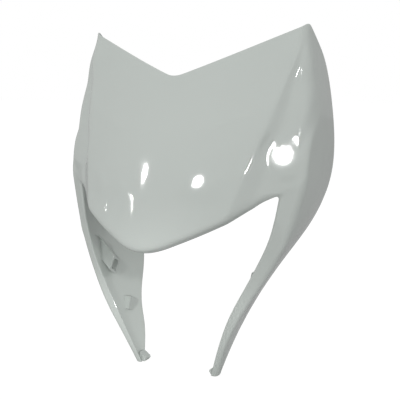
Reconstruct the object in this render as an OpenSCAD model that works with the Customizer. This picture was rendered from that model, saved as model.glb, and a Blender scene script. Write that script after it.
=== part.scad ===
// Headlight cowl of a small motorbike: one moulded shell with a notched hood, a proud centre
// shield, two side wings and two legs that close in below the lamp opening.
// Every point of the form is given by its half width from the middle plane, its set back from
// the nose and its height over the leg tips. The shell is lofted through seven lines that run
// from the left leg tip over the hood to the right leg tip.

/* [Top edge] */
// Height of the notch in the middle of the top edge
notch_height = 280; // [275:0.5:290]
// Set back of the notch
notch_back = 68; // [62:0.5:74]
// Rounding length of the notch, each way
notch_round = 10; // [6:0.5:16]
// Half width at the middle of each top edge
rim_half = 46; // [40:0.5:52]
// Set back of the top edge there
rim_back = 81.8; // [76:0.2:88]
// Height of the top edge there
rim_height = 297.6; // [293:0.1:305]
// Half the distance between the ear tips
ear_half = 117; // [110:0.5:119]
// Set back of the ear tips
ear_back = 111; // [105:0.5:116]
// Height of the ear tips
ear_height = 328.5; // [320:0.5:335]
// Rounding length at the ear tips
ear_round = 5; // [4:0.5:6]

/* [Brow] */
// Height of the nose, at the middle of the brow
nose_height = 123; // [120:0.5:134]
// Half width at the middle of each brow line
brow_half = 47; // [42:0.5:52]
// Set back of the brow line there
brow_back = 17; // [13:0.5:21]
// Height of the brow line there
brow_height = 143.2; // [141:0.5:149]
// Depth by which the brow rolls back under
roll_depth = 9; // [6:0.5:12]
// Drop of the rolled edge below the brow line
roll_drop = 3.5; // [2:0.5:6]
// Length over which the face runs into the roll
roll_run = 14; // [9:0.5:18]

/* [Centre shield] */
// Height of the middle of the face
face_height = 205; // [195:1:215]
// Set back of the middle of the face
face_back = 31; // [27:0.5:34]
// Height of the face halfway to the fold
face_side_height = 213; // [207:1:219]
// Set back of the face there
face_side_back = 38; // [36:0.5:40]
// Half width of the shield's fold at the brow
fold_brow_half = 72.5; // [68:0.5:76]
// Set back of the fold at the brow
fold_brow_back = 31; // [28:0.5:34]
// Height of the fold at the brow
fold_brow_height = 156; // [153:0.5:159]
// Half width of the fold at the middle of the face
fold_half = 94.5; // [92:0.5:97]
// Set back of the fold there
fold_back = 60.5; // [58:0.5:63]
// Height of the fold there
fold_height = 227; // [220:1:234]
// Half width of the fold below the ear
fold_top_half = 108.5; // [107:0.5:110]
// Set back of the fold below the ear
fold_top_back = 92; // [90:0.5:94]
// Height of the fold below the ear
fold_top_height = 289; // [285:1:293]
// Rounding length of the fold
fold_round = 4; // [3:0.5:6]

/* [Step beside the shield] */
// Half width of the foot of the step at the brow
step_brow_half = 90.5; // [88:0.5:94]
// Set back of the foot of the step at the brow
step_brow_back = 51; // [49:0.5:54]
// Height of the foot of the step at the brow
step_brow_height = 170.5; // [168:0.5:173]
// Half width of the foot of the step at the middle of the face
step_half = 103.3; // [101:0.1:106]
// Set back of the foot of the step there
step_back = 72; // [70:0.5:75]
// Half width of the foot of the step below the ear
step_top_half = 113.8; // [112.5:0.1:115]
// Set back of the foot of the step below the ear
step_top_back = 104; // [102:0.5:106]
// Height of the foot of the step below the ear
step_top_height = 310; // [307:1:313]
// Rounding length at the foot of the step
step_round = 5; // [3:0.5:7]

/* [Opening corner] */
// Half width at the upper corner of the opening
corner_half = 111.5; // [108:0.5:114]
// Set back of the corner
corner_back = 68.5; // [65:0.5:71]
// Height of the corner
corner_height = 179.5; // [175:0.5:183]
// Rounding length at the corner
corner_round = 6; // [5:0.5:8]

/* [Flank crease] */
// Half width of the crease level with the opening corner
flank_half = 129.2; // [125:0.2:132]
// Set back of the crease there
flank_back = 78; // [74:0.5:82]
// Height of the crease there
flank_height = 186; // [181:1:191]
// Half width of the crease beside the shield
flank_up_half = 130; // [126:0.1:132]
// Set back of the crease beside the shield
flank_up_back = 90.5; // [88:0.5:97]
// Height of the crease beside the shield
flank_up_height = 252; // [244:1:260]
// Rounding length of the flank crease
flank_round = 6; // [4:0.5:9]
// Rounding length of the soft fold that runs from the opening's corner to the flank crease
panel_round = 5; // [4:0.5:9]

/* [Side wings] */
// Half width of the rear edge at its furthest back
wing_half = 120; // [115:0.5:123]
// Set back of the rear edge there
wing_back = 183; // [170:1:200]
// Height of the rear edge there
wing_height = 200; // [190:1:210]
// Half width of the rear edge below the ears
wing_up_half = 117.5; // [114:0.5:121]
// Set back of the rear edge below the ears
wing_up_back = 161; // [155:1:180]
// Height of the rear edge below the ears
wing_up_height = 292; // [284:1:302]
// Outward bulge of the wings
wing_bulge = 3; // [0:0.5:6]

/* [Legs] */
// Heights of the four sections down the leg, at the front edge
leg_height = [137, 102, 65, 30]; // [10:1:150]
// Half width of the front edge at each section
leg_front_half = [102, 86.5, 65, 50.5]; // [40:0.5:110]
// Set back of the front edge at each section
leg_front_back = [65, 58, 57, 62.5]; // [50:0.5:75]
// Half width of the crease at each section
leg_crease_half = [116.5, 99.5, 76, 57]; // [40:0.5:120]
// Set back of the crease at each section
leg_crease_back = [72.5, 65, 55, 60.5]; // [50:0.5:80]
// Half width of the rear edge at each section
leg_rear_half = [108, 76.5, 62.7, 51]; // [40:0.5:110]
// Set back of the rear edge at each section
leg_rear_back = [164, 134, 101, 93.5]; // [80:0.5:170]
// Half width of the front edge at the leg tips
tip_half = 40; // [36:0.5:48]
// Set back of the front edge at the leg tips
tip_back = 69.5; // [65:0.5:74]
// Width of the front flange at the leg tips
tip_flange = 5.6; // [5:0.1:7]
// Width of the leg tips from front to rear
tip_width = 11.5; // [10:0.5:20]

/* [Moulding] */
// Wall thickness of the shell
wall = 2; // [1.6:0.1:2.2]
// Distance of each screw boss from the middle plane
boss_half = 48; // [36:1:60]
// Height of the screw bosses over the leg tips
boss_height = 240; // [225:1:250]
// Set back of the bosses' seats from the nose
boss_seat = 78; // [72:0.5:90]
// Diameter of a screw boss
boss_d = 10; // [8:0.5:13]
// Diameter of the pilot hole in a boss
pilot_d = 4.2; // [3:0.1:5]
// Depth of the pilot hole
pilot_depth = 15; // [10:0.5:17]
// Reach of the gussets from a boss's axis
gusset_reach = 13; // [9:0.5:16]
// Length over which the gussets slope in to a boss
gusset_slope = 14; // [10:0.5:18]
// Thickness of the gussets
gusset = 1.6; // [1.2:0.1:2]

/* [Clip towers] */
// Half width at which the towers' inner faces stand
tower_half = 77; // [75:0.5:80]
// Set back of the middle of a tower's inner face
tower_back = 80; // [76:0.5:85]
// Height of the middle of the inner face
tower_height = 93; // [90:0.5:98]
// Length of the inner face, down the leg
tower_length = 15; // [13:0.5:18]
// Width of the inner face, across the leg
tower_width = 11.5; // [10:0.5:13]
// Lean of the towers against the upright
tower_lean = 31; // [15:1:40]
// Rise of a tower over 15 mm from its inner face towards the wall
tower_rise = 11; // [6:0.5:14]
// Length of the clip socket in a tower
socket_length = 11; // [9:0.5:11.5]
// Width of the clip socket
socket_width = 8; // [6:0.5:8]
// Depth of the clip socket
socket_depth = 6; // [5:0.5:7]

/* [Clip pads] */
// Half width at which the pads' inner faces stand
pad_half = 59.5; // [58.5:0.5:61]
// Set back of the middle of a pad's inner face
pad_back = 86.5; // [84:0.5:88]
// Height of the middle of the inner face
pad_height = 53; // [51:0.5:56]
// Length of the inner face, down the leg
pad_length = 12.5; // [9:0.5:14]
// Width of the inner face, across the leg
pad_width = 14; // [10:0.5:15]
// Lean of the pads against the upright
pad_lean = 24; // [15:1:30]

/* [Hooks] */
// Inward reach of the hook at each leg tip, from the front edge
hook_reach = 4; // [3.5:0.5:8]
// Set back of the hook's front side behind the front edge
hook_set = 3; // [2:0.5:4]
// Width of the hook from front to rear
hook_width = 9; // [6:0.5:10]
// Height of the hook where it leaves the wall
hook_height = 9; // [7:0.5:12]

/* [Hidden] */

fold_cut = 1.9 * wall;   // shortest rounding of a fold that leaves the inner wall a radius
flange_step = 0.1;        // share of the legs' front flange between two lines of the loft
SMOOTH = 999;   // a rounding so long that the line has no corner left
LONG = 100;     // a rounding longer than this counts as smooth
MOST = 0.46;    // share of a run that a smooth bend takes
FOLD = 0.92;    // most of a run that the roundings at its two ends take together

function xyz(p) = [p.x, p.y, p.z];
function mix(a, b, f) = a + (b - a) * f;
function unit(v) = v / max(norm(v), 0.0001);

// A point of a line: place, rounding along the line (r), rounding across to the next line (c)
function pt(x, y, z, r = SMOOTH, c = SMOOTH) = [x, y, z, r, c];

// Share of the run from p to q that the rounding at p takes; k tells which rounding counts
function share(p, q, k) =
    let (run = max(norm(xyz(q) - xyz(p)), 0.01), mine = p[k] > LONG ? MOST * run : p[k],
         other = q[k] > LONG ? MOST * run : q[k])
    p[k] > LONG && q[k] <= LONG
        ? min(MOST, FOLD - min(FOLD - MOST / 2, other / run))
        : q[k] > LONG && p[k] <= LONG
            ? min(FOLD - MOST / 2, mine / run)
            : min(mine / run, FOLD * mine / (mine + other));

// Point at q (0 to 1) of the soft corner at point i of line v; k tells which rounding counts
function bend(v, i, q, k) =
    let (a = mix(v[i], v[i - 1], share(v[i], v[i - 1], k)),
         b = mix(v[i], v[i + 1], share(v[i], v[i + 1], k)))
    (1 - q) * (1 - q) * a + 2 * q * (1 - q) * v[i] + q * q * b;

// Line v with its corners rounded: bends[i] steps at corner i, runs[i] steps after it
function soft(v, bends, runs, k) =
    let (n = len(v) - 1)
    [for (i = [0 : n])
        let (from = i == 0 || i == n ? v[i] : bend(v, i, 1, k),
             to = i >= n - 1 ? v[n] : bend(v, i + 1, 0, k))
        each concat(
            i == 0 || i == n ? [v[i]] : [for (s = [0 : bends[i]]) bend(v, i, s / bends[i], k)],
            i < n && runs[i] > 1 ? [for (s = [1 : runs[i] - 1]) mix(from, to, s / runs[i])] : [])];

rear_rise = [9, -6, -8, -2];   // rise of the legs' rear edge over the front edge, per section

// The front edge and the crease down the right leg, from its top section to the tip
front = concat([for (k = [0 : 3]) pt(leg_front_half[k], leg_front_back[k], leg_height[k])],
    [pt(tip_half, tip_back, 0)]);
leg_crease = concat(
    [for (k = [0 : 3]) pt(leg_crease_half[k], leg_crease_back[k], leg_height[k], SMOOTH,
        mix(flank_round, fold_cut, (k + 1) / 4))],
    [pt(tip_half + tip_flange, tip_back, 0, SMOOTH, fold_cut)]);

// A point of the leg's front flange, at f of the way from its edge to the crease
function flange(k, f) =
    let (across = xyz(leg_crease[k] - front[k]), p = xyz(front[k]) + f * across)
    pt(p.x, p.y, p.z, SMOOTH, flange_step / 2.5 * norm(across));

// Lines of the right half, from the middle plane to the leg tip
brow_line = concat(
    [pt(0, 0, nose_height),
     pt(brow_half, brow_back, brow_height),
     pt(fold_brow_half, fold_brow_back, fold_brow_height, fold_round),
     pt(step_brow_half, step_brow_back, step_brow_height, step_round),
     mix(pt(step_brow_half, step_brow_back, step_brow_height),
         pt(corner_half, corner_back, corner_height), 0.6),
     pt(corner_half, corner_back, corner_height, corner_round)],
    [for (k = [0 : 4]) flange(k, flange_step)]);

crease_line = concat(
    [mix(pt(0, face_back, face_height), pt(0, notch_back, notch_height), 0.6),
     mix(pt(brow_half, face_side_back, face_side_height), pt(rim_half, rim_back, rim_height), 0.52),
     pt(fold_top_half, fold_top_back, fold_top_height, fold_round),
     pt(step_top_half, step_top_back, step_top_height, step_round),
     pt(flank_up_half, flank_up_back, flank_up_height, SMOOTH, flank_round),
     pt(flank_half, flank_back, flank_height, 1.6 * panel_round, flank_round)],
    leg_crease);

mid_line = concat(
    [pt(0, face_back, face_height),
     pt(brow_half, face_side_back, face_side_height),
     pt(fold_half, fold_back, fold_height, fold_round),
     pt(step_half, step_back, fold_height, step_round),
     mix(brow_line[4], crease_line[4], 0.5),
     let (p = mix(brow_line[5], crease_line[5], 0.5)) pt(p.x, p.y, p.z, panel_round)],
    [for (k = [0 : 4]) flange(k, 3 * flange_step)]);

edge_line = concat(
    [pt(0, notch_back, notch_height, notch_round),
     pt(rim_half, rim_back, rim_height),
     pt(ear_half - 5, ear_back - 5, ear_height - 3.4, 2.5),
     pt(ear_half, ear_back, ear_height, ear_round),
     pt(wing_up_half, wing_up_back, wing_up_height),
     pt(wing_half, wing_back, wing_height)],
    [for (k = [0 : 3]) pt(leg_rear_half[k], leg_rear_back[k], leg_height[k] + rear_rise[k])],
    [pt(tip_half + tip_flange - 1, tip_back + tip_width, 2)]);

wing_line = [for (k = [0 : 10])
    let (m = mix(crease_line[k], edge_line[k], k < 4 ? 0.45 : 0.5),
         b = k < 4 ? 0 : wing_bulge * (k < 7 ? 1 : 0.5))
    pt(m.x + b, m.y, m.z, k == 2 ? fold_round : k == 3 ? step_round : SMOOTH)];

// The opening's edge: rolled under along the brow, less and less towards the corner
roll = [1, 1, 0.9, 0.6, 0.45, 0.35];
turn = [1, 1, 1, 0.7, 0.45, 0.35];
under = unit([0, roll_depth, -roll_drop]);
lip_line = concat(
    [for (k = [0 : 5])
        let (p = brow_line[k], d = unit(mix(unit(xyz(p) - xyz(mid_line[k])), under, turn[k])),
             w = roll[k] * roll_depth)
        pt(p.x + d.x * w, p.y + d.y * w, p.z + d.z * w, p[3])],
    front);

run_line = concat(
    [for (k = [0 : 5])
        let (p = brow_line[k], d = unit(xyz(mid_line[k]) - xyz(p)), w = roll[k] * roll_run)
        pt(p.x + d.x * w, p.y + d.y * w, p.z + d.z * w, p[3])],
    [for (k = [0 : 4]) flange(k, 2 * flange_step)]);

LINES = [lip_line, brow_line, run_line, mid_line, crease_line, wing_line, edge_line];

function flip(p) = [-p.x, p.y, p.z, p[3], p[4]];
function both(v) = concat([for (i = [len(v) - 1 : -1 : 1]) flip(v[i])], v);
function both_ways(list) = concat([for (i = [len(list) - 1 : -1 : 1]) list[i]], list);

half_bends = [4, 3, 3, 3, 5, 5, 4, 4, 3, 3, 0];
half_runs = [1, 1, 1, 1, 1, 1, 1, 1, 1, 2];
side_bends = both_ways(half_bends);
side_runs = concat([for (i = [9 : -1 : 0]) half_runs[i]], half_runs);

across_bends = [0, 3, 2, 2, 4, 2, 0];
across_runs = [1, 1, 2, 2, 1, 2];

long_rows = [for (v = LINES) soft(both(v), side_bends, side_runs, 3)];
columns = len(long_rows[0]);
grid = [for (c = [0 : columns - 1])
    [for (p = soft([for (r = long_rows) r[c]], across_bends, across_runs, 4)) xyz(p)]];
rows = len(grid[0]);

function normal(c, r) =
    let (a = grid[max(c - 1, 0)][r], b = grid[min(c + 1, columns - 1)][r],
         d = grid[c][max(r - 1, 0)], e = grid[c][min(r + 1, rows - 1)])
    unit(cross(b - a, e - d));

// Normals, each the mean of its neighbours within `reach`, so that the inner wall of a fold
// keeps a radius of its own
function even(field, reach) =
    [for (c = [0 : columns - 1]) [for (r = [0 : rows - 1])
        unit([for (i = [max(c - reach, 0) : min(c + reach, columns - 1)],
                   j = [max(r - reach, 0) : min(r + reach, rows - 1)]) 1]
            * [for (i = [max(c - reach, 0) : min(c + reach, columns - 1)],
                    j = [max(r - reach, 0) : min(r + reach, rows - 1)]) field[i][j]])]];
normals = even([for (c = [0 : columns - 1]) [for (r = [0 : rows - 1]) normal(c, r)]], 2);

inner = [for (c = [0 : columns - 1]) [for (r = [0 : rows - 1]) grid[c][r] - wall * normals[c][r]]];

function rim(a, b, t) = [mix(a, b, 0.2) + t, mix(a, b, 0.8) + t];

function ring(c) =
    let (o = grid[c], i = inner[c], m = rows - 1,
         te = 0.3 * wall * unit(o[m] - o[m - 1]), ts = 0.3 * wall * unit(o[0] - o[1]))
    concat(o, rim(o[m], i[m], te), [for (r = [m : -1 : 0]) i[r]], rim(i[0], o[0], ts));

module shell() {
    rings = [for (c = [0 : columns - 1]) ring(c)];
    n = len(rings[0]);
    points = [for (r = rings) each r];
    half = (columns - 1) / 2;
    skin = [for (c = [0 : columns - 2], i = [0 : n - 1])
        let (a = c * n + i, b = c * n + (i + 1) % n, d = a + n, e = b + n)
        each c < half ? [[a, b, e], [a, e, d]] : [[a, b, d], [b, e, d]]];
    last = (columns - 1) * n;
    caps = [for (i = [0 : rows - 2]) // strips between the outer and the inner wall
        let (a = i, b = i + 1, d = n - 3 - i, e = n - 4 - i)
        each [[a, e, b], [a, d, e], [last + a, last + b, last + e], [last + a, last + e, last + d]]];
    m = rows - 1;
    ends = [for (q = [[0, n - 3, n - 2, n - 1], [m, m + 1, m + 2, m + 3]])
        each [[q[0], q[2], q[1]], [q[0], q[3], q[2]],
              [last + q[0], last + q[1], last + q[2]], [last + q[0], last + q[2], last + q[3]]]];
    polyhedron(points, concat(skin, caps, ends), convexity = 10);
}

// The space inside the shell from the middle of its wall inwards, over columns c0 to c1 and
// rows r0 to r1, out to the plane where coordinate `axis` has the value `far`
module inside(c0, c1, r0, r1, axis, far) {
    w = r1 - r0 + 1;
    n = (c1 - c0 + 1) * w;
    near = [for (c = [c0 : c1], r = [r0 : r1]) (grid[c][r] + inner[c][r]) / 2];
    back = [for (p = near) [for (k = [0 : 2]) k == axis ? far : p[k]]];
    fronts = [for (c = [0 : c1 - c0 - 1], r = [0 : w - 2])
        let (a = c * w + r) each [[a, a + 1, a + w + 1], [a, a + w + 1, a + w]]];
    backs = [for (f = fronts) [f[2] + n, f[1] + n, f[0] + n]];
    around = concat([for (r = [0 : w - 1]) r], [for (c = [1 : c1 - c0]) c * w + w - 1],
        [for (r = [w - 2 : -1 : 0]) (c1 - c0) * w + r], [for (c = [c1 - c0 - 1 : -1 : 1]) c * w]);
    m = len(around);
    sides = [for (i = [0 : m - 1]) let (a = around[i], b = around[(i + 1) % m])
        each [[a, a + n, b + n], [a, b + n, b]]];
    polyhedron(concat(near, back), concat(fronts, backs, sides), convexity = 8);
}

// First sample of corner i in a soft line with these bends and runs
function first(bends, runs, i) =
    i == 0 ? 0 : first(bends, runs, i - 1) + (i == 1 ? 1 : bends[i - 1] + 1) + runs[i - 1] - 1;

left_fold = first(side_bends, side_runs, 8) + side_bends[8];
right_fold = first(side_bends, side_runs, 12);
leg_from = first(side_bends, side_runs, 16);
face_from = first(across_bends, across_runs, 3);   // first row above the roll of the brow
crease_to = first(across_bends, across_runs, 4) + across_bends[4];
side_to = rows - 2;

// A blind boss for a self-tapping screw, with four gussets, its seat facing back
module screw_boss() {
    top = boss_seat - 2;   // the gussets end a little under the seat
    difference() {
        union() {
            translate([0, boss_seat, 0]) rotate([90, 0, 0]) cylinder(d = boss_d, h = boss_seat, $fn = 48);
            for (turn = [45 : 90 : 315]) rotate([0, turn, 0]) rotate([0, 0, 90])
                translate([0, 0, -gusset / 2]) linear_extrude(gusset)
                    polygon([[0, 0], [top, 0], [top, -boss_d / 2], [top - gusset_slope, -gusset_reach],
                             [0, -gusset_reach]]);
        }
        translate([0, boss_seat + 1, 0]) rotate([90, 0, 0]) cylinder(d = pilot_d, h = pilot_depth + 1, $fn = 32);
    }
}

// A block on a side wall: inner face w by l, its far end raised by `rise` and wider by `draft`
module block(w, l, deep, rise, draft) {
    corners = [[-1, -1], [1, -1], [1, 1], [-1, 1]];
    polyhedron(concat([for (s = corners) [0, s.x * w / 2, s.y * l / 2]],
            [for (s = corners) [deep, s.x * (w / 2 + draft), rise + s.y * (l / 2 + draft)]]),
        [[0, 1, 2, 3], [7, 6, 5, 4], [0, 4, 5, 1], [1, 5, 6, 2], [2, 6, 7, 3], [3, 7, 4, 0]]);
}

// The right leg's clip tower with its socket, and the pad below it, with feet beyond the wall
module clips() {
    foot = 30;
    draft = 1;
    slope = tower_rise / 15;
    translate([tower_half, tower_back, tower_height]) rotate([-tower_lean, 0, 0]) difference() {
        block(tower_width, tower_length, foot, slope * foot, draft);
        translate([-1, 0, -slope])
            block(socket_width, socket_length, socket_depth + 1, slope * (socket_depth + 1), 0);
    }
    translate([pad_half, pad_back, pad_height]) rotate([-pad_lean, 0, 0])
        block(pad_width, pad_length, foot, 0, draft);
}

// A hook that reaches inwards from the right leg tip
module hook() {
    x = tip_half;
    end = x - hook_reach;
    nose = 1.2;      // rounding of the hook's end
    root = 3.4;      // depth of its root in the leg tip
    translate([0, tip_back + hook_set + hook_width, 0]) rotate([90, 0, 0]) linear_extrude(hook_width)
        polygon([[x + root, 0.4], [x - 2, 0.2], [end + nose, nose], [end, 2.5 * nose],
            [end + nose / 2, 4 * nose], [x - hook_reach / 2, 0.6 * hook_height],
            [x, 0.8 * hook_height], [x + root, hook_height]]);
}

module cowl() {
    translate([0, -boss_seat, -boss_height]) color([0.93, 0.94, 0.93]) {
        shell();
        intersection() {
            inside(left_fold, right_fold, face_from, crease_to, 1, 2 * boss_seat);
            for (side = [-1, 1]) translate([side * boss_half, 0, boss_height]) screw_boss();
        }
        for (side = [0, 1]) mirror([side, 0, 0]) {
            intersection() {
                inside(leg_from, columns - 2, crease_to, side_to, 0, tip_half / 2);
                clips();
            }
            hook();
        }
    }
}

cowl();
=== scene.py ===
"""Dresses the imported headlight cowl: a smooth glossy moulded skin, a pale studio and a camera."""
import math

import bmesh
import bpy
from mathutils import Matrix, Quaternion, Vector


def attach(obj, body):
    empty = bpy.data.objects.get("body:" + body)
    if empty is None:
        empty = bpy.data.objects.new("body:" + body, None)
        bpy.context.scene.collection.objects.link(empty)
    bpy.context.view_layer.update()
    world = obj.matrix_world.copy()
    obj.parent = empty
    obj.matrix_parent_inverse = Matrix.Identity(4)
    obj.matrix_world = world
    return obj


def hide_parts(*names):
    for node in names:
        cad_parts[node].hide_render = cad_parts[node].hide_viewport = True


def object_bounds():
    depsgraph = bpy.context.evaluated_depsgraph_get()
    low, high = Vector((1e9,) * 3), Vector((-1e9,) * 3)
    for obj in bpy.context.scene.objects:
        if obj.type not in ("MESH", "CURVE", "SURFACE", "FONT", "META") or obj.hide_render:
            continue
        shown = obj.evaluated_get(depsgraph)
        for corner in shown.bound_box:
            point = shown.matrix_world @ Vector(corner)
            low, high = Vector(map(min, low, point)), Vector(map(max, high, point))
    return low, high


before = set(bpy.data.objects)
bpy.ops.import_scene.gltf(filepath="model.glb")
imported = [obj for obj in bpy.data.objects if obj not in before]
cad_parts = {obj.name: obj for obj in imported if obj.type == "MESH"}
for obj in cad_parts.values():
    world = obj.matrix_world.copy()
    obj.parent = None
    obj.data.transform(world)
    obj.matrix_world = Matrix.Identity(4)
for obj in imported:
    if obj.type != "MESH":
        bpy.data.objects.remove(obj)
CAD_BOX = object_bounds()

bl_info = {
    "name": "Headlight cowl",
    "version": (1, 0, 0),
    "blender": (4, 5, 0),
    "location": "View3D > Sidebar > Cowl",
    "description": "Models a glossy moulded headlight cowl and its studio",
    "category": "Object",
}

NODE = "cowl"
MM = 0.001
SENSOR = 36.0             # width of the camera's sensor, in millimetres

# The left half gets the mirror image of all that is listed for the right half.

# Places of the moulded details on the right half, in millimetres: centre and reach
DETAILS = (
    ((48.0, -20.0, 0.0), 27.0),        # screw boss with its gussets
    ((82.0, 6.0, -144.0), 20.0),       # clip tower
    ((62.0, 9.0, -187.0), 14.0),       # clip pad
    ((38.0, 0.0, -236.0), 10.0),       # hook
)

# Small corrections of the skin on the right half, in millimetres: centre, reach, push
DABS = (
    ((115.0, 24.0, 58.0), 26.0, (2.2, -1.6, 0.0)),      # side below the ear, out
    ((99.5, -18.3, -67.0), 15.0, (0.0, 0.0, 2.4)),      # brow's end at the opening, up
)

# Shallow domes worked into the skin of the right half, in millimetres: centre, outward
# direction, radius of the dome, reach of the even part, reach of all of it
DOMES = (
    ((109.6, -6.2, -27.2), (0.476, -0.853, 0.213), 600.0, 13.0, 26.0),    # flank panel
    ((46.4, -45.9, -49.9), (0.220, -0.918, 0.329), 450.0, 8.0, 26.0),     # front of the shield
)
WALL = 2.0                # thickness of the shell
DOME_DEPTH = 8.0          # a dome moves only points this close to it, along its direction

# The inner wall faces an upright line inside the cowl: how far back that line stands, in
# millimetres, and the cosine that a normal stays below where it faces the line
MIDDLE_BACK = 60.0
FACING_IN = -0.05

# Two triangles become one face where they are this flat and this square, in degrees
FLAT = 40.0
SQUARE = 120.0

# Lamps of the studio: name, azimuth and elevation in degrees, width and height in metres,
# lean to the right in degrees, watts
LAMPS = (
    ("right_lamp", 38.0, 20.5, 0.110, 0.110, 0.0, 2.3),
    ("front_lamp", -2.5, 29.7, 0.066, 0.100, 32.0, 2.0),
    ("left_lamp", -40.5, 28.9, 0.055, 0.090, 10.0, 1.8),
    ("side_lamp", -46.6, 20.7, 0.030, 0.012, 0.0, 0.2),
    ("far_lamp", -64.7, 12.9, 0.008, 0.008, 0.0, 0.01),
)


class CowlSettings(bpy.types.PropertyGroup):
    """Finish of the moulded shell."""

    merge_distance: bpy.props.FloatProperty(
        name="Merge distance", description="Points closer than this become one",
        default=0.002 * MM, subtype="DISTANCE", precision=6)
    crease_angle: bpy.props.FloatProperty(
        name="Crease angle", description="Edges that turn by more than this stay crisp",
        default=math.radians(50), subtype="ANGLE")
    detail_angle: bpy.props.FloatProperty(
        name="Detail angle", description="The same on bosses, clips and hooks",
        default=math.radians(24), subtype="ANGLE")
    shading_angle: bpy.props.FloatProperty(
        name="Shading angle", description="Edges that turn by more than this are shaded crisp",
        default=math.radians(40), subtype="ANGLE")
    smooth_levels: bpy.props.IntProperty(
        name="Smoothing", description="Subdivision levels of the skin", default=2, min=1, max=3)
    shell_color: bpy.props.FloatVectorProperty(
        name="Shell colour", description="Colour of the moulded plastic",
        default=(0.49, 0.525, 0.50), subtype="COLOR", min=0, max=1)
    shell_roughness: bpy.props.FloatProperty(
        name="Roughness", description="Roughness of the polished outer face",
        default=0.05, min=0, max=1, subtype="FACTOR")
    inside_roughness: bpy.props.FloatProperty(
        name="Inside roughness", description="Roughness of the inner wall",
        default=0.22, min=0, max=1, subtype="FACTOR")
    # The inner wall's colour is made a little darker: painted shade, not a colour of the plastic.
    inside_painted_shade: bpy.props.FloatProperty(
        name="Inside shade", description="How much darker the inner wall is",
        default=0.03, min=0, max=1, subtype="FACTOR")
    tone_spread: bpy.props.FloatProperty(
        name="Tone spread", description="Spread of the slow change of tone over the moulding",
        default=0.04, min=0, max=1, subtype="FACTOR")
    gloss_spread: bpy.props.FloatProperty(
        name="Gloss spread", description="The same for the roughness",
        default=0.02, min=0, max=1, subtype="FACTOR")
    cloud_scale: bpy.props.FloatProperty(
        name="Cloud scale", description="Scale of that slow change", default=9.0, min=0)
    peel_scale: bpy.props.FloatProperty(
        name="Orange peel scale", description="Scale of the fine waves of the surface",
        default=620.0, min=0)
    peel_strength: bpy.props.FloatProperty(
        name="Orange peel", description="Strength of those waves", default=0.012, min=0, max=1)
    peel_height: bpy.props.FloatProperty(
        name="Orange peel height", description="Height of those waves",
        default=0.2 * MM, subtype="DISTANCE", precision=5)
    inside_peel: bpy.props.FloatProperty(
        name="Inside peel", description="How much stronger those waves are on the inner wall",
        default=1.5, min=0)


class StageSettings(bpy.types.PropertyGroup):
    """Camera, floor and lamps."""

    camera_place: bpy.props.FloatVectorProperty(
        name="Camera", description="Place of the camera",
        default=(0.3876, -0.6504, 0.0290), subtype="TRANSLATION")
    camera_aim: bpy.props.FloatVectorProperty(
        name="Aim", description="Point in the middle of the picture",
        default=(0.0, 0.041, -0.080), subtype="TRANSLATION")
    lens: bpy.props.FloatProperty(
        name="Lens", description="Focal length", default=72.0, subtype="DISTANCE_CAMERA")
    floor_color: bpy.props.FloatVectorProperty(
        name="Floor colour", description="Colour of the floor",
        default=(0.55, 0.55, 0.55), subtype="COLOR", min=0, max=1)
    floor_size: bpy.props.FloatProperty(
        name="Floor size", description="Side of the floor", default=30.0, subtype="DISTANCE")
    floor_gap: bpy.props.FloatProperty(
        name="Floor gap", description="Gap between the floor and the leg tips",
        default=0.5 * MM, subtype="DISTANCE", precision=4)
    floor_glow: bpy.props.FloatProperty(
        name="Floor glow", description="Share of plain white in what the camera sees of the floor",
        default=0.7, min=0, max=1)
    floor_white: bpy.props.FloatProperty(
        name="Floor white", description="Level of that white. Higher hides more of the shadow",
        default=1.3, min=0)
    sky_front: bpy.props.FloatProperty(
        name="Sky in front", description="Soft light from the front", default=0.42, min=0)
    sky_back: bpy.props.FloatProperty(
        name="Sky behind", description="Soft light from behind", default=0.42, min=0)
    sky_left: bpy.props.FloatProperty(
        name="Sky at left", description="Soft light from the left", default=0.58, min=0)
    sky_right: bpy.props.FloatProperty(
        name="Sky at right", description="Soft light from the right", default=0.84, min=0)
    sky_top: bpy.props.FloatProperty(
        name="Sky overhead", description="Soft light from above", default=0.74, min=0)
    lamp_distance: bpy.props.FloatProperty(
        name="Lamp distance", description="Distance of the lamps from the middle of the object",
        default=1.4, subtype="DISTANCE")
    lamp_level: bpy.props.FloatProperty(
        name="Lamp level", description="Factor on the power of all lamps but the leg lamp",
        default=1.35, min=0)
    leg_power: bpy.props.FloatProperty(
        name="Leg lamp", description="Power of the lamp on the left leg's inner wall",
        default=12.0, min=0)
    leg_cone: bpy.props.FloatProperty(
        name="Leg lamp's cone", description="Full angle of its cone",
        default=math.radians(15), subtype="ANGLE")
    leg_radius: bpy.props.FloatProperty(
        name="Leg lamp's radius", description="Radius of its bulb, which softens its shadows",
        default=0.04, min=0, subtype="DISTANCE")
    leg_place: bpy.props.FloatVectorProperty(
        name="Leg lamp's place", description="Place of that lamp",
        default=(0.50, -0.68, -0.06), subtype="TRANSLATION")
    leg_aim: bpy.props.FloatVectorProperty(
        name="Leg lamp's aim", description="Point that it lights",
        default=(-0.070, 0.022, -0.200), subtype="TRANSLATION")


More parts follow.
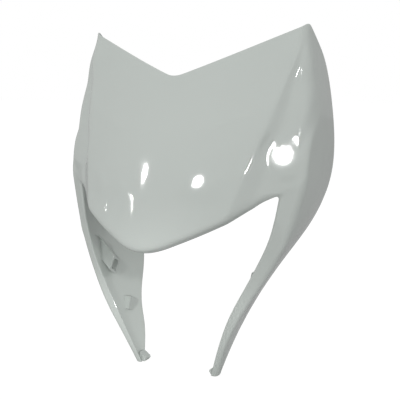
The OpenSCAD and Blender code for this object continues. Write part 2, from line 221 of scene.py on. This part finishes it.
class Value:
    """A shader socket that can be used in arithmetic."""

    def __init__(self, tree, socket):
        self.tree = tree
        self.socket = socket

    def node(self, kind, settings=None, inputs=None, output=0):
        """Adds a node: its settings are set first, then the values or links of its sockets."""
        node = self.tree.nodes.new(kind)
        for name, value in (settings or {}).items():
            setattr(node, name, value)
        for key, value in (inputs or {}).items():
            if isinstance(value, Value):
                self.tree.links.new(value.socket, node.inputs[key])
            else:
                node.inputs[key].default_value = value
        return Value(self.tree, node.outputs[output])

    def math(self, operation, a, b):
        """Adds a Math node on two values."""
        return self.node("ShaderNodeMath", {"operation": operation}, {0: a, 1: b})

    def __add__(self, other):
        return self.math("ADD", self, other)

    def __radd__(self, other):
        return self.math("ADD", other, self)

    def __sub__(self, other):
        return self.math("SUBTRACT", self, other)

    def __rsub__(self, other):
        return self.math("SUBTRACT", other, self)

    def __mul__(self, other):
        return self.math("MULTIPLY", self, other)

    def __rmul__(self, other):
        return self.math("MULTIPLY", other, self)


def new_material(name):
    """An empty node material, its output node and a Value to start expressions from."""
    material = bpy.data.materials.new(name)
    material.use_nodes = True
    material.node_tree.nodes.clear()
    output = material.node_tree.nodes.new("ShaderNodeOutputMaterial")
    return material, output, Value(material.node_tree, None)


def plastic_material(settings):
    """Glossy moulded plastic: polished outside, plainer and a little darker inside, with the
    faintest orange peel; the darker inside is painted shade.
    """
    material, output, start = new_material("white_moulded_plastic")
    tree = material.node_tree
    place = start.node("ShaderNodeTexCoord", output="Object")
    inside = start.node("ShaderNodeAttribute", {"attribute_name": "inside"}, output="Fac")
    cloud = start.node("ShaderNodeTexNoise", inputs={
        "Vector": place, "Scale": settings.cloud_scale, "Detail": 2.0})
    grain = start.node("ShaderNodeTexNoise", inputs={
        "Vector": place, "Scale": settings.peel_scale, "Detail": 1.0})
    darkest = 1.0 - settings.tone_spread / 2.0
    # The inner wall is darkened here: painted shade.
    tone = cloud * settings.tone_spread + darkest - inside * settings.inside_painted_shade
    color = start.node("ShaderNodeVectorMath", {"operation": "SCALE"}, {
        0: tuple(settings.shell_color), "Scale": tone})
    span = settings.inside_roughness - settings.shell_roughness
    roughness = inside * span + settings.shell_roughness + cloud * settings.gloss_spread
    height = grain * (inside * settings.inside_peel + 1.0)
    bump = start.node("ShaderNodeBump", inputs={
        "Strength": settings.peel_strength, "Distance": settings.peel_height, "Height": height})
    shader = tree.nodes.new("ShaderNodeBsdfPrincipled")
    shader.inputs["IOR"].default_value = 1.5
    tree.links.new(color.socket, shader.inputs["Base Color"])
    tree.links.new(roughness.socket, shader.inputs["Roughness"])
    tree.links.new(bump.socket, shader.inputs["Normal"])
    tree.links.new(shader.outputs[0], output.inputs[0])
    return material


def select_only(piece):
    """Makes the piece the only selected and the active object."""
    bpy.ops.object.select_all(action="DESELECT")
    piece.select_set(True)
    bpy.context.view_layer.objects.active = piece


class COWL_OT_shell(bpy.types.Operator):
    """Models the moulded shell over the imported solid"""

    bl_idname = "cowl.make_shell"
    bl_label = "Make the shell"

    def execute(self, context):
        settings = context.scene.cowl_settings
        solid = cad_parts[NODE]
        piece = bpy.data.objects.new("cowl_shell", solid.data.copy())
        context.scene.collection.objects.link(piece)
        piece.data.materials.clear()
        piece.data.materials.append(plastic_material(settings))
        select_only(piece)
        bpy.ops.object.mode_set(mode="EDIT")
        bpy.ops.mesh.select_all(action="SELECT")
        bpy.ops.mesh.remove_doubles(threshold=settings.merge_distance)
        bpy.ops.mesh.customdata_custom_splitnormals_clear()
        bpy.ops.mesh.tris_convert_to_quads(
            face_threshold=math.radians(FLAT), shape_threshold=math.radians(SQUARE))
        bpy.ops.object.mode_set(mode="OBJECT")
        keep_crisp(piece.data, settings.crease_angle, settings.detail_angle)
        smooth = piece.modifiers.new("smooth", "SUBSURF")
        smooth.levels = settings.smooth_levels
        smooth.render_levels = settings.smooth_levels
        bpy.ops.object.modifier_apply(modifier=smooth.name)
        press(piece.data)
        mark_inside(piece.data)
        bpy.ops.object.shade_smooth_by_angle(angle=settings.shading_angle)
        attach(piece, "root")
        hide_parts(NODE)
        return {"FINISHED"}


def keep_crisp(mesh, angle, detail_angle):
    """Creases the edges that turn by more than the angle, so smoothing leaves them."""
    work = bmesh.new()
    work.from_mesh(mesh)
    layers = work.edges.layers.float
    layer = layers.get("crease_edge") or layers.new("crease_edge")
    for edge in work.edges:
        middle = (edge.verts[0].co + edge.verts[1].co) / (2.0 * MM)
        place = Vector((abs(middle.x), middle.y, middle.z))
        on_detail = any((place - Vector(centre)).length < reach for centre, reach in DETAILS)
        if edge.is_manifold and edge.calc_face_angle() > (detail_angle if on_detail else angle):
            edge[layer] = 1.0
    work.to_mesh(mesh)
    work.free()


def press(mesh):
    """Works the dabs and domes into the skin, each fading out smoothly to its reach."""
    normals = [vertex.normal.copy() for vertex in mesh.vertices]
    for vertex, normal in zip(mesh.vertices, normals):
        side = 1.0 if vertex.co.x > 0 else -1.0
        place = Vector((vertex.co.x * side, vertex.co.y, vertex.co.z)) / MM
        facing = Vector((normal.x * side, normal.y, normal.z))
        move = Vector()
        for centre, reach, push in DABS:
            far = (place - Vector(centre)).length / reach
            if far < 1.0:
                move += Vector(push) * (1.0 - far * far) ** 2
        for centre, direction, radius, even, reach in DOMES:
            up = Vector(direction).normalized()
            arm = place - Vector(centre)
            if facing.dot(up) < 0.0:
                arm += up * WALL
            height = arm.dot(up)
            far = (arm - up * height).length
            if abs(height) < DOME_DEPTH and far < reach:
                fade = min(1.0, (reach - far) / (reach - even))
                fade = fade * fade * (3.0 - 2.0 * fade)
                move -= up * (height + far * far / (2.0 * radius)) * fade
        vertex.co += Vector((move.x * side, move.y, move.z)) * MM


def mark_inside(mesh):
    """Stores 1 on points of the inner wall and 0 on the outer face."""
    layer = mesh.attributes.new("inside", "FLOAT", "POINT")
    for vertex in mesh.vertices:
        out = Vector((vertex.co.x, vertex.co.y - MIDDLE_BACK * MM, 0.0)).normalized()
        layer.data[vertex.index].value = 0.0 if vertex.normal.dot(out) > FACING_IN else 1.0


def round_lamp(name, azimuth, elevation, width, height, lean, power, settings):
    """A round or oval lamp in a direction from the object, turned to it. Azimuth 0 is in front."""
    data = bpy.data.lights.new(name, "AREA")
    data.shape = "ELLIPSE"
    data.size = width
    data.size_y = height
    data.energy = power * settings.lamp_level
    lamp = bpy.data.objects.new(name, data)
    turn, rise = math.radians(azimuth), math.radians(elevation)
    level = math.cos(rise)
    way = Vector((math.sin(turn) * level, -math.cos(turn) * level, math.sin(rise)))
    lamp.location = Vector(settings.camera_aim) + way * settings.lamp_distance
    roll = Quaternion((0.0, 0.0, 1.0), -math.radians(lean))
    lamp.rotation_euler = (way.to_track_quat("Z", "Y") @ roll).to_euler()
    bpy.context.scene.collection.objects.link(lamp)
    return lamp


def leg_lamp(settings):
    """A narrow soft lamp that reaches under the brow to the inner wall of the left leg."""
    data = bpy.data.lights.new("leg_lamp", "SPOT")
    data.energy = settings.leg_power
    data.spot_size = settings.leg_cone
    data.spot_blend = 1.0
    data.shadow_soft_size = settings.leg_radius
    lamp = bpy.data.objects.new("leg_lamp", data)
    lamp.location = settings.leg_place
    way = Vector(settings.leg_aim) - lamp.location
    lamp.rotation_euler = way.to_track_quat("-Z", "Y").to_euler()
    bpy.context.scene.collection.objects.link(lamp)
    return lamp


def floor_material(settings):
    """Pale floor. A share of plain white takes what the camera sees of it to white or past it."""
    material, output, start = new_material("pale_floor")
    tree = material.node_tree
    diffuse = start.node("ShaderNodeBsdfDiffuse", inputs={"Color": (*settings.floor_color, 1)})
    white = start.node("ShaderNodeEmission", inputs={
        "Color": (1, 1, 1, 1), "Strength": settings.floor_white})
    seen = start.node("ShaderNodeLightPath", output="Is Camera Ray")
    mixed = start.node("ShaderNodeMixShader", inputs={
        0: seen * settings.floor_glow, 1: diffuse, 2: white})
    tree.links.new(mixed.socket, output.inputs[0])
    return material


def studio_world(settings):
    """Soft light, most of it from the right and overhead, that looks white to the camera."""
    world = bpy.data.worlds.new("studio")
    world.use_nodes = True
    tree = world.node_tree
    tree.nodes.clear()
    start = Value(tree, None)
    way = start.node("ShaderNodeTexCoord", output="Generated")
    x, y, z = [start.node("ShaderNodeSeparateXYZ", inputs={0: way}, output=name) for name in "XYZ"]
    sides = ((x, settings.sky_right), (0 - x, settings.sky_left), (y, settings.sky_back),
             (0 - y, settings.sky_front), (z, settings.sky_top))
    parts = [start.math("MAXIMUM", side, 0.0) * side * share for side, share in sides]
    strength = sum(parts[1:], parts[0])
    even = start.node("ShaderNodeBackground", inputs={"Color": (1, 1, 1, 1), "Strength": strength})
    white = start.node("ShaderNodeBackground", inputs={"Color": (1, 1, 1, 1), "Strength": 1.0})
    seen = start.node("ShaderNodeLightPath", output="Is Camera Ray")
    mixed = start.node("ShaderNodeMixShader", inputs={0: seen, 1: even, 2: white})
    output = tree.nodes.new("ShaderNodeOutputWorld")
    tree.links.new(mixed.socket, output.inputs[0])
    return world


class COWL_OT_stage(bpy.types.Operator):
    """Adds the floor, the even light, the lamps and the camera"""

    bl_idname = "cowl.make_stage"
    bl_label = "Make the stage"

    def execute(self, context):
        settings = context.scene.stage_settings
        bpy.ops.object.select_all(action="DESELECT")
        height = CAD_BOX[0].z - settings.floor_gap
        bpy.ops.mesh.primitive_plane_add(size=settings.floor_size, location=(0, 0, height))
        floor = context.active_object
        floor.name = "floor"
        floor.data.materials.append(floor_material(settings))

        camera = bpy.data.objects.new("camera", bpy.data.cameras.new("camera"))
        camera.data.lens = settings.lens
        camera.data.sensor_width = SENSOR
        camera.location = settings.camera_place
        aim = Vector(settings.camera_aim) - camera.location
        camera.rotation_euler = aim.to_track_quat("-Z", "Y").to_euler()
        context.scene.collection.objects.link(camera)
        context.scene.camera = camera

        for lamp in LAMPS:
            round_lamp(*lamp, settings)
        leg_lamp(settings)
        context.scene.world = studio_world(settings)
        context.scene.view_settings.view_transform = "Standard"
        return {"FINISHED"}


class COWL_PT_panel(bpy.types.Panel):
    """Lists the pieces and the stage"""

    bl_idname = "COWL_PT_panel"
    bl_label = "Headlight cowl"
    bl_space_type = "VIEW_3D"
    bl_region_type = "UI"
    bl_category = "Cowl"

    def draw(self, context):
        for group in (context.scene.cowl_settings, context.scene.stage_settings):
            for name in group.__annotations__:
                self.layout.prop(group, name)
        self.layout.operator(COWL_OT_shell.bl_idname)
        self.layout.operator(COWL_OT_stage.bl_idname)


CLASSES = (CowlSettings, StageSettings, COWL_OT_shell, COWL_OT_stage, COWL_PT_panel)


def register():
    for one in CLASSES:
        bpy.utils.register_class(one)
    bpy.types.Scene.cowl_settings = bpy.props.PointerProperty(type=CowlSettings)
    bpy.types.Scene.stage_settings = bpy.props.PointerProperty(type=StageSettings)


def unregister():
    del bpy.types.Scene.stage_settings
    del bpy.types.Scene.cowl_settings
    for one in reversed(CLASSES):
        bpy.utils.unregister_class(one)


def main():
    register()
    bpy.ops.cowl.make_shell()
    bpy.ops.cowl.make_stage()


if __name__ == "__main__":
    main()
